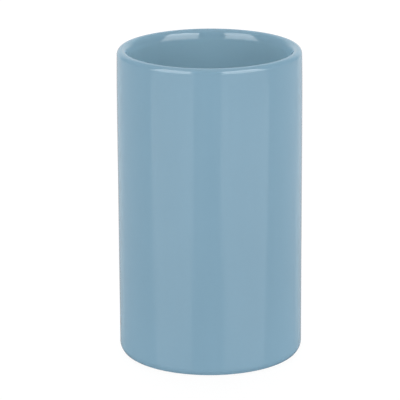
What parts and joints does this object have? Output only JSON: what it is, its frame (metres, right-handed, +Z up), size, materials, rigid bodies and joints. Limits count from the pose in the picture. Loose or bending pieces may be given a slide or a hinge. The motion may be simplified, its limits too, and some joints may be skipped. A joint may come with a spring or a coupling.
{
  "type": "bathroom tumbler",
  "caption": "Straight-sided glazed ceramic tumbler, open at the top, with a rounded lip and a bare foot ring round a shallow glazed recess.",
  "frame": {"origin": "on the tumbler's axis, in the plane of the foot ring that it stands on", "axes": "+Z up along the axis from the foot to the lip; the tumbler is turned about +Z, and the picture looks along +Y from above"},
  "size_m": [0.0708, 0.0708, 0.12],
  "materials": {
    "blue_glaze": "glossy, pale grey-blue",
    "bare_stoneware": "matt, off-white, wiped bare of glaze"
  },
  "bodies": {
    "root": {"stoneware_body": "bare_stoneware", "glaze_coat": "blue_glaze", "underside_glaze": "blue_glaze"}
  },
  "joints": []
}
